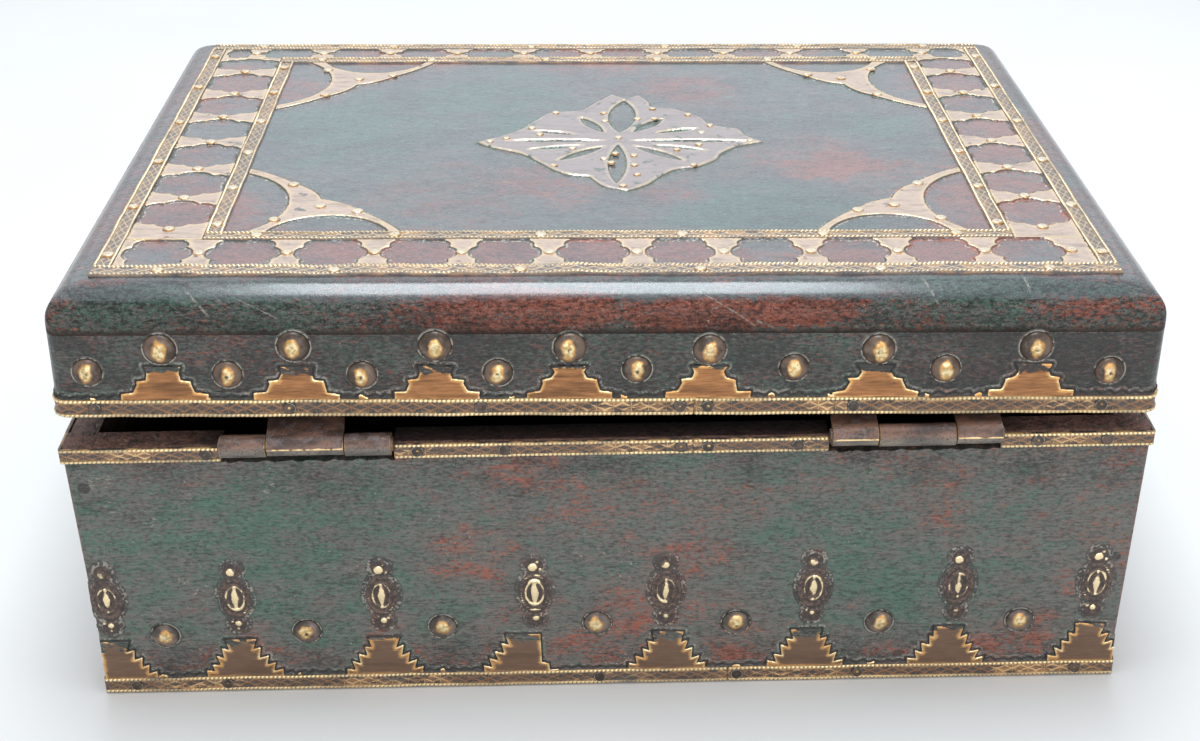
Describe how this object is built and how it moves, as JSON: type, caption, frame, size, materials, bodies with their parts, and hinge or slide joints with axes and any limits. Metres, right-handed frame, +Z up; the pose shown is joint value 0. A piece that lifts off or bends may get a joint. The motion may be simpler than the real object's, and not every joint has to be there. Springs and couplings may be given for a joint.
{
  "type": "table chest",
  "caption": "Small brass-dressed painted wooden table chest with a hinged lid, standing with its hinged back to the front.",
  "frame": {"origin": "on the table under the middle of the chest", "axes": "+X along the hinged back, to the right of someone who faces it, +Y away from them, +Z up"},
  "size_m": [0.2826, 0.2166, 0.123],
  "materials": {
    "painted_wood": "worn green and brick red paint over wood",
    "bare_wood": "dark unpainted wood",
    "beaded_brass_band": "stamped and tarnished, bright on the beads",
    "brass_sheet": "brushed and tarnished thin sheet",
    "brass_studs": "worn bright on the crowns",
    "hinge_metal": "dark brown patina",
    "iron_nails": "dark forged iron"
  },
  "bodies": {
    "chest": {"chest_back_wall": "painted_wood", "chest_band_pins": "brass_studs", "chest_crest_back": "brass_sheet", "chest_crest_front": "brass_sheet", "chest_crest_left": "brass_sheet", "chest_crest_right": "brass_sheet", "chest_floor": "bare_wood", "chest_front_wall": "painted_wood", "chest_joint_nails": "iron_nails", "chest_left_wall": "painted_wood", "chest_plaques": "brass_sheet", "chest_right_wall": "painted_wood", "chest_studs": "brass_studs", "foot_band_back": "beaded_brass_band", "foot_band_front": "beaded_brass_band", "foot_band_left": "beaded_brass_band", "foot_band_right": "beaded_brass_band", "hinge_chest_nails": "hinge_metal", "hinge_left_chest_leaf": "hinge_metal", "hinge_left_pin": "hinge_metal", "hinge_right_chest_leaf": "hinge_metal", "hinge_right_pin": "hinge_metal", "rim_band_back": "beaded_brass_band", "rim_band_front": "beaded_brass_band", "rim_band_left": "beaded_brass_band", "rim_band_right": "beaded_brass_band"},
    "lid": {"hinge_left_lid_leaf": "hinge_metal", "hinge_lid_nails": "hinge_metal", "hinge_right_lid_leaf": "hinge_metal", "lid_back_rail": "painted_wood", "lid_band_pins": "brass_studs", "lid_board": "painted_wood", "lid_corner_plates": "brass_sheet", "lid_crest_back": "brass_sheet", "lid_crest_front": "brass_sheet", "lid_crest_left": "brass_sheet", "lid_crest_right": "brass_sheet", "lid_edge_band_back": "beaded_brass_band", "lid_edge_band_front": "beaded_brass_band", "lid_edge_band_left": "beaded_brass_band", "lid_edge_band_right": "beaded_brass_band", "lid_fret_back": "brass_sheet", "lid_fret_front": "brass_sheet", "lid_fret_left": "brass_sheet", "lid_fret_right": "brass_sheet", "lid_front_rail": "painted_wood", "lid_inner_band_back": "beaded_brass_band", "lid_inner_band_front": "beaded_brass_band", "lid_inner_band_left": "beaded_brass_band", "lid_inner_band_right": "beaded_brass_band", "lid_joint_nails": "iron_nails", "lid_left_rail": "painted_wood", "lid_medallion": "brass_sheet", "lid_outer_band_back": "beaded_brass_band", "lid_outer_band_front": "beaded_brass_band", "lid_outer_band_left": "beaded_brass_band", "lid_outer_band_right": "beaded_brass_band", "lid_right_rail": "painted_wood", "lid_studs": "brass_studs", "lid_top_pins": "brass_studs"}
  },
  "joints": [
    {"name": "lid_hinge", "type": "hinge", "parent": "chest", "child": "lid", "pos_m": [0, -0.1059, 0.0791], "axis": [1, 0, 0], "range_deg": [0, 165]}
  ]
}
